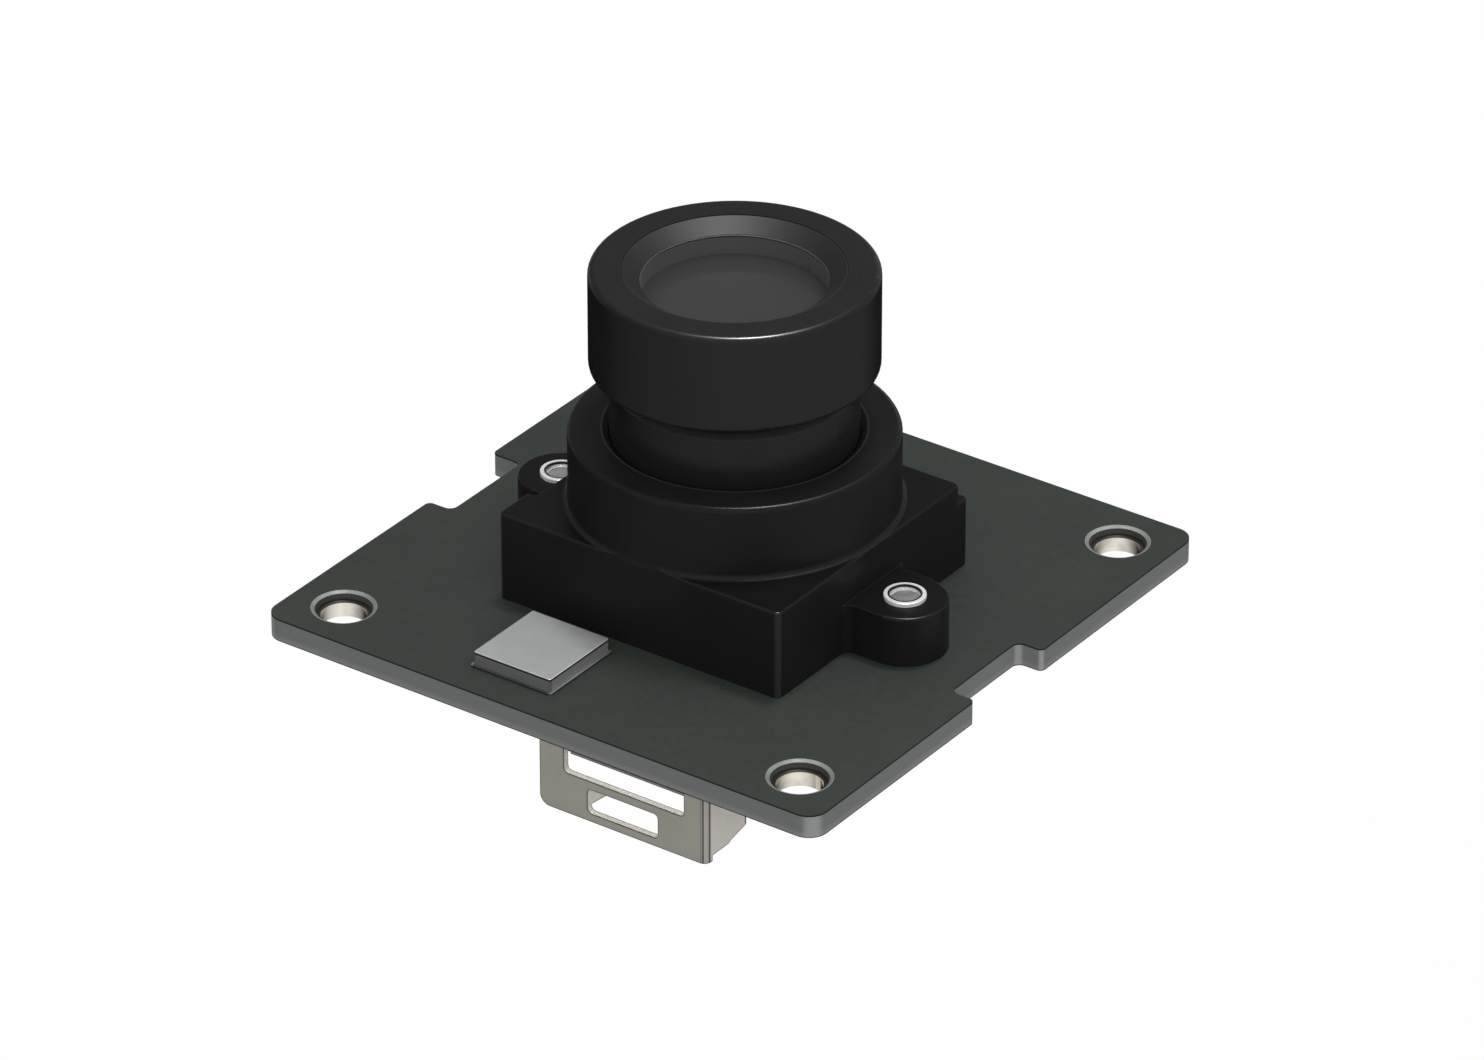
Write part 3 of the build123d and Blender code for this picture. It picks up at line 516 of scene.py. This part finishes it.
# %% Small parts
# The columns are the light and the dark colour, the size of the grain, the roughness, the depth
# of the relief, the gloss, how metallic it is, and the parts.
SMALL_PARTS = {
    "lead_tin": ((0.62, 0.62, 0.6), (0.42, 0.42, 0.41), 0.12, 0.34, 0.002, 0.5, 1.0,
                 ["quartz_posts", "memory_leads", "regulator_leads", "capacitor_ends",
                  "resistor_ends", "socket_contacts", "socket_anchors"]),
    "sensor_ceramic": ((0.27, 0.25, 0.22), (0.19, 0.175, 0.15), 0.06, 0.65, 0.002, 0.4, 0.0,
                       ["sensor_package", "crystal_base"]),
    "silicon": ((0.2, 0.22, 0.26), (0.14, 0.15, 0.2), 0.3, 0.12, 0.0002, 0.9, 0.0,
                ["sensor_die"]),
    "substrate": ((0.02, 0.055, 0.032), (0.014, 0.04, 0.022), 0.2, 0.5, 0.001, 0.4, 0.0,
                  ["processor_substrate"]),
    "mould_compound": ((0.024, 0.024, 0.025), (0.014, 0.014, 0.015), 0.05, 0.66, 0.003, 0.4, 0.0,
                       ["processor_mould", "memory_body", "regulator_bodies"]),
    "ferrite": ((0.075, 0.075, 0.08), (0.04, 0.04, 0.043), 0.05, 0.7, 0.004, 0.4, 0.0,
                ["coil_cores"]),
    "copper": ((0.72, 0.34, 0.16), (0.52, 0.22, 0.1), 0.1, 0.3, 0.002, 0.5, 1.0,
               ["coil_windings"]),
    "capacitor_ceramic": ((0.5, 0.37, 0.22), (0.38, 0.27, 0.15), 0.07, 0.5, 0.002, 0.4, 0.0,
                          ["capacitor_bodies"]),
    "resistor_glaze": ((0.025, 0.025, 0.03), (0.012, 0.012, 0.014), 0.1, 0.25, 0.001, 0.6, 0.0,
                       ["resistor_bodies"]),
    "socket_nylon": ((0.72, 0.68, 0.57), (0.62, 0.58, 0.48), 0.15, 0.5, 0.002, 0.4, 0.0,
                     ["socket_housing"]),
}


def grainy(name, light, dark, size, rough, depth, gloss, metallic):
    stuff = Finish(name)
    grain = stuff.noise(size, detail=4)
    cloud = stuff.noise(size * 12, detail=2)
    tone = stuff.mix(grain * 0.6 + cloud * 0.4, grey(*dark), grey(*light))
    return stuff.surface(Base_Color=tone, Metallic=metallic, Roughness=rough + 0.15 * (grain - 0.5),
                         Normal=stuff.bump(grain, depth), Specular_IOR_Level=gloss)


for name, (*recipe, names) in SMALL_PARTS.items():
    dress(grainy(name, *recipe), *names)
undressed = [name for name, part in parts.items() if not part.data.materials[0].use_nodes]
print(f"{len(parts)} parts dressed, {len(undressed)} left")

# %% [markdown]
# Pieces that repeat. A wire wound round a core, a screw thread and dozens of solder joints each
# follow a short rule, so geometry nodes suit them: the rule is built once as a tree, its sizes
# are named inputs, and the result is turned into one plain mesh. A Growth is such a tree. It
# shares `add` and the sums with the finishes above.

# %% Geometry helper
class Growth(Nodes):
    """A tree of geometry nodes with named sizes in millimetres."""

    def __init__(self, name, points=(), **sizes):
        super().__init__(bpy.data.node_groups.new(name, "GeometryNodeTree"))
        self.name = name
        self.points = points
        self.scales = []
        interface = self.tree.interface
        interface.new_socket("Geometry", in_out="OUTPUT", socket_type="NodeSocketGeometry")
        interface.new_socket("Points", in_out="INPUT", socket_type="NodeSocketGeometry")
        self.values = {}
        for size, value in sizes.items():
            kind = "NodeSocketInt" if isinstance(value, int) else "NodeSocketFloat"
            socket = interface.new_socket(size, in_out="INPUT", socket_type=kind)
            self.values[socket.identifier] = value if isinstance(value, int) else value * MM
        self.inputs = self.tree.nodes.new("NodeGroupInput")

    def size(self, name):
        return Signal(self, self.inputs.outputs[name])

    def place(self, x=0.0, y=0.0, z=0.0):
        return self.add("ShaderNodeCombineXYZ", sockets={0: x, 1: y, 2: z})

    def tube(self, path, radius):
        """Eight-sided wire along a curve, closed at its ends."""
        section = self.add("GeometryNodeCurvePrimitiveCircle",
                           sockets={"Radius": radius, "Resolution": 8})
        return self.add("GeometryNodeCurveToMesh", sockets={0: path, 1: section, "Fill Caps": True})

    def finished(self, shape, material, body, slot):
        """Closes the tree, runs it once, and lets the plain mesh ride on a body."""
        real = self.add("GeometryNodeRealizeInstances", sockets={0: shape})
        dressed = self.add("GeometryNodeSetMaterial", sockets={0: real, 2: material})
        output = self.tree.nodes.new("NodeGroupOutput")
        self.tree.links.new(dressed.socket, output.inputs[0])
        start = bpy.data.meshes.new(self.name + "_points")
        start.from_pydata([tuple(MM * c for c in point) for point in self.points], [], [])
        if self.scales:
            foot = start.attributes.new("foot", "FLOAT_VECTOR", "POINT")
            for number, scale in enumerate(self.scales):
                foot.data[number].vector = [MM * c for c in scale]
        grower = bpy.data.objects.new(self.name + "_grower", start)
        bpy.context.scene.collection.objects.link(grower)
        modifier = grower.modifiers.new(self.name, "NODES")
        modifier.node_group = self.tree
        for identifier, value in self.values.items():
            modifier[identifier] = value
        ready = grower.evaluated_get(bpy.context.evaluated_depsgraph_get())
        mesh = bpy.data.meshes.new_from_object(ready)
        bpy.data.objects.remove(grower)
        mesh.name = self.name
        tidy = bmesh.new()
        tidy.from_mesh(mesh)
        bmesh.ops.remove_doubles(tidy, verts=tidy.verts, dist=0.0005 * MM)
        bmesh.ops.recalc_face_normals(tidy, faces=tidy.faces)
        tidy.to_mesh(mesh)
        tidy.free()
        piece = bpy.data.objects.new(self.name, mesh)
        bpy.context.scene.collection.objects.link(piece)
        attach(piece, body)
        print(f"{self.name}: {len(mesh.polygons)} faces")
        return piece


# %% [markdown]
# The thread of the lens. Only its lowest part is cut, and at rest the holder hides it; it comes
# into view when the lens is screwed out. A helix of thin wire, sunk in the neck until only its
# crest stands proud, gives the ridge. The thread is right-handed with the usual 0.5 mm pitch.

# %% Lens thread
def lens_thread(material):
    bottom, top, pitch, neck = 5.75, 9.3, 0.5, 5.95
    wire, crest = 0.13, 0.03
    thread = Growth("lens_thread", neck=neck, wire=wire, crest=crest, rise=top - bottom)
    radius = thread.size("neck") - thread.size("wire") + thread.size("crest")
    helix = thread.add("GeometryNodeCurveSpiral", sockets={
        "Resolution": 72, "Rotations": (top - bottom) / pitch, "Start Radius": radius,
        "End Radius": radius, "Height": thread.size("rise")})
    ridge = thread.tube(helix, thread.size("wire"))
    moved = thread.add("GeometryNodeTransform", sockets={
        0: ridge, "Translation": (LENS_X * MM, LENS_Y * MM, bottom * MM)})
    return thread.finished(moved, material, "lens_turn", "barrel_black")


lens_thread(parts["lens_barrel"].data.materials[0])

# %% [markdown]
# The two coils under the board. Enamelled wire lies on each ferrite core in a few level turns.
# One turn is a ring of wire; a line of points stacks it, and two points place the stack. The
# wire takes the place of the plain sleeves of the solid model.

# %% Coil wire
def coil_wire(material):
    low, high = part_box("coil_windings")
    radius = (high.x - low.x) / 2 / MM
    centres = [((low.x + high.x) / 2 / MM, y, low.z / MM)
               for y in (low.y / MM + radius, high.y / MM - radius)]
    turns = 5
    wire = (high.z - low.z) / MM / turns / 2
    coils = Growth("coil_wire", centres, radius=radius, wire=wire, turns=turns)
    circle = coils.add("GeometryNodeCurvePrimitiveCircle", sockets={
        "Resolution": 48, "Radius": coils.size("radius") - coils.size("wire")})
    turn = coils.tube(circle, coils.size("wire"))
    stack = coils.add("GeometryNodeMeshLine", sockets={
        "Count": coils.size("turns"), "Start Location": coils.place(z=coils.size("wire")),
        "Offset": coils.place(z=coils.size("wire") * 2)})
    coil = coils.add("GeometryNodeInstanceOnPoints", sockets={"Points": stack, "Instance": turn})
    both = coils.add("GeometryNodeInstanceOnPoints", sockets={
        "Points": coils.size("Points"), "Instance": coil})
    return coils.finished(both, material, "board", "copper")


coil_piece = coil_wire(parts["coil_windings"].data.materials[0])
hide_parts("coil_windings")

# %% [markdown]
# Solder. Each tinned end and lead sits in a small fillet of solder that climbs it and runs out on
# the board. The places are not typed in: every loose part of a tinned node is measured, and the
# box round its vertices near the board says where its foot is.

# %% Feet of the tinned parts
FOOT_HEIGHT = 0.2 * MM


def feet(name, spread):
    """Middle and size of the foot of each loose part of a node, widened by `spread`."""
    shape = bmesh.new()
    shape.from_mesh(parts[name].data)
    bmesh.ops.remove_doubles(shape, verts=shape.verts, dist=0.001 * MM)
    left = set(shape.verts)
    boxes = []
    while left:
        island = {left.pop()}
        edge = list(island)
        while edge:
            vertex = edge.pop()
            for link in vertex.link_edges:
                other = link.other_vert(vertex)
                if other not in island:
                    island.add(other)
                    edge.append(other)
        left -= island
        at_board = [vertex.co for vertex in island if vertex.co.z > -FOOT_HEIGHT]
        xs = [place.x / MM for place in at_board]
        ys = [place.y / MM for place in at_board]
        boxes.append(((min(xs) + max(xs)) / 2, (min(ys) + max(ys)) / 2,
                      max(xs) - min(xs) + spread, max(ys) - min(ys) + spread))
    shape.free()
    return boxes


# %% [markdown]
# One lump, a soft-edged block one metre wide, is scaled to the foot of each joint, so the scale
# is the size. Half of its height lies in the board. How far the solder runs out round a foot and
# how high it climbs depend on the kind of part.

# %% Solder joints
SOLDER = {"capacitor_ends": (0.26, 0.3), "resistor_ends": (0.22, 0.16),
          "memory_leads": (0.16, 0.1), "regulator_leads": (0.16, 0.1)}
ONE_METRE = 1000.0


def solder_joints(material):
    spots = [(*foot, climb) for name, (spread, climb) in SOLDER.items()
             for foot in feet(name, spread)]
    joints = Growth("solder_joints", [(x, y, 0) for x, y, _, _, _ in spots], side=ONE_METRE)
    joints.scales = [(wide, long, 2 * climb) for _, _, wide, long, climb in spots]
    side = joints.size("side")
    block = joints.add("GeometryNodeMeshCube", sockets={"Size": joints.place(side, side, side)})
    lump = joints.add("GeometryNodeSubdivisionSurface", sockets={
        0: block, "Level": 2, "Edge Crease": 0.55})
    foot = joints.add("GeometryNodeInputNamedAttribute", {"data_type": "FLOAT_VECTOR"},
                      {"Name": "foot"})
    placed = joints.add("GeometryNodeInstanceOnPoints", sockets={
        "Points": joints.size("Points"), "Instance": lump, "Scale": foot})
    return joints.finished(placed, material, "board", "lead_tin")


solder_joints(parts["capacitor_ends"].data.materials[0])

# %% [markdown]
# Floor. The photograph has an empty white ground and no cast shadow, so the floor is pale, well
# below the part, and throws no light back on it.

# %% Floor
FLOOR_REACH, FLOOR_HEIGHT = 8.0, -0.35


def pale_floor():
    paint = Finish("floor_paint")
    cloud = paint.noise(400, detail=2)
    tone = paint.mix(cloud, grey(0.985), grey(1.0))
    return paint.surface(Base_Color=grey(0.0), Roughness=1.0, Specular_IOR_Level=0.0,
                         Emission_Color=tone, Emission_Strength=1.0)


floor_mesh = bpy.data.meshes.new("floor")
floor_corners = [(side_x * FLOOR_REACH, side_y * FLOOR_REACH, FLOOR_HEIGHT)
                 for side_x, side_y in ((-1, -1), (1, -1), (1, 1), (-1, 1))]
floor_mesh.from_pydata(floor_corners, [], [(0, 1, 2, 3)])
floor = bpy.data.objects.new("floor", floor_mesh)
floor.data.materials.append(pale_floor())
bpy.context.scene.collection.objects.link(floor)
for ray in ("diffuse", "glossy", "transmission", "shadow"):
    setattr(floor, "visible_" + ray, False)
print(f"floor {-FLOOR_HEIGHT / MM:.0f} mm below the board")

# %% [markdown]
# The light and the camera are both set out from the direction of the photograph's view, so that
# comes first.

# %% Directions of the view
AZIMUTH = math.radians(35.571)
ELEVATION = math.radians(29.624)
right = Vector((math.cos(AZIMUTH), math.sin(AZIMUTH), 0))
forward = Vector((-math.sin(AZIMUTH) * math.cos(ELEVATION),
                  math.cos(AZIMUTH) * math.cos(ELEVATION), -math.sin(ELEVATION)))
up = right.cross(forward)
front = Vector((-forward.x, -forward.y, 0)).normalized()
print(f"view from {math.degrees(AZIMUTH):.1f} degrees round and {math.degrees(ELEVATION):.1f} up")

# %% [markdown]
# A product on a white ground is lit in a tent: white cloth all round, with some sides closed off
# by dark cards so that edges stay crisp. A lamp for each wall of the tent would be clumsy, so the
# sky itself is painted by direction. Soft light on surfaces and mirrored light in them are set
# apart, as a photographer does with cards that only show up in reflections. The soft light grows
# upwards and to the front. The mirrored light is strong in front and weak behind, which keeps
# level black faces black, with a light band low down at the back.

# %% Light tent
SOFT_LEVEL, SOFT_UP, SOFT_ZENITH, SOFT_RIGHT, SOFT_FRONT = 0.295, 0.4875, 0.76, 0.15, 0.34
SOFT_LEAST = 0.1
CARD_LEVEL, CARD_FRONT, CARD_RIGHT, CARD_UP, CARD_BACK = 0.4, 0.7, 0.15, 0.42, 0.5
BACK_BAND, BAND_NARROWNESS = 0.6, 2.2


class Tent(Nodes):
    """A sky whose brightness depends on the direction."""

    def __init__(self, name):
        world = bpy.data.worlds.new(name)
        bpy.context.scene.world = world
        world.use_nodes = True
        super().__init__(world.node_tree)
        self.place = self.add("ShaderNodeTexCoord", out="Generated")

    def along(self, direction):
        """How far a direction of the sky points along another, from -1 to 1."""
        return self.add("ShaderNodeVectorMath", {"operation": "DOT_PRODUCT"},
                        {0: self.place, 1: tuple(direction)}, out="Value")

    def light(self, strength):
        sky = self.add("ShaderNodeBackground", sockets={"Color": grey(1.0), "Strength": strength})
        output = self.tree.nodes.new("ShaderNodeOutputWorld")
        self.tree.links.new(sky.socket, output.inputs["Surface"])


tent = Tent("light_tent")
height = tent.along((0, 0, 1))
to_right = tent.along(right)
to_front = tent.along(front)
soft = (SOFT_LEVEL + SOFT_UP * height + SOFT_ZENITH * height * height + SOFT_RIGHT * to_right
        + SOFT_FRONT * to_front).at_least(SOFT_LEAST)
above = height.at_least(0.0)
low = (1 - BAND_NARROWNESS * abs(height)).at_least(0.0)
behind = (0.0 - to_front).at_least(0.0)
mirrored = (CARD_LEVEL + CARD_FRONT * to_front + CARD_RIGHT * to_right + CARD_UP * above
            + CARD_BACK * above * behind).at_least(0.0) + BACK_BAND * behind * low
glossy = tent.add("ShaderNodeLightPath", out="Is Glossy Ray")
seen = tent.add("ShaderNodeLightPath", out="Is Camera Ray")
strength = soft + glossy * (mirrored - soft)
tent.light(strength + seen * (1.0 - strength))
print("white tent, seen as plain white by the camera")

# %% [markdown]
# Two lamps help the tent. The small one nearly overhead only shows as a glint along the rim of
# the lens. The wide one below lifts the underside a little.

# %% Lamps
def soft_lamp(name, direction, distance, size, power, mirrored_only=True):
    """A square area lamp that faces the part from a direction and is never seen itself."""
    data = bpy.data.lights.new(name, "AREA")
    data.size = size
    data.energy = power
    lamp = bpy.data.objects.new(name, data)
    lamp.location = direction.normalized() * distance
    lamp.rotation_mode = "QUATERNION"
    lamp.rotation_quaternion = direction.to_track_quat("Z", "Y")
    lamp.visible_camera = False
    lamp.visible_diffuse = not mirrored_only
    bpy.context.scene.collection.objects.link(lamp)
    print(f"{name}: {size / MM:.0f} mm wide, {distance / MM:.0f} mm away, {power} W")


overhead = right * 0.1 - front * 0.12 + Vector((0, 0, 1))
soft_lamp("rim_lamp", overhead, distance=0.6, size=0.09, power=15.0)
soft_lamp("fill_lamp", Vector((0, 0, -1)), distance=0.3, size=0.2, power=0.8, mirrored_only=False)
bpy.context.scene.view_settings.view_transform = "Standard"
bpy.context.scene.view_settings.look = "None"

# %% [markdown]
# Camera. The photograph was taken with a long lens: lines that are parallel on the board stay
# nearly parallel in the picture. The distance and the turn come from the places of the board's
# corners and of the lens circles. A known spot on the lens axis is aimed at its known pixel.

# %% Camera
WIDE, HIGH = 1484, 1060
DISTANCE, PIXELS_PER_MM = 450, 21.118
AIM_HEIGHT = 8.2
AIM_PIXEL = (734.85, 451.41)
aim_point = Vector((LENS_X, LENS_Y, AIM_HEIGHT)) * MM
focal_pixels = PIXELS_PER_MM * DISTANCE
camera_data = bpy.data.cameras.new("camera")
camera_data.sensor_width = 36.0
camera_data.lens = focal_pixels * camera_data.sensor_width / WIDE
camera_data.clip_start = 0.01
camera = bpy.data.objects.new("camera", camera_data)
bpy.context.scene.collection.objects.link(camera)
camera.location = aim_point - forward * (DISTANCE * MM)
across = WIDE / 2 - AIM_PIXEL[0]
down = HIGH / 2 - AIM_PIXEL[1]
look = forward * focal_pixels + right * across - up * down
camera.rotation_mode = "QUATERNION"
camera.rotation_quaternion = look.to_track_quat("-Z", "Y")
bpy.context.scene.camera = camera
print(f"lens {camera_data.lens:.0f} mm at {DISTANCE} mm")
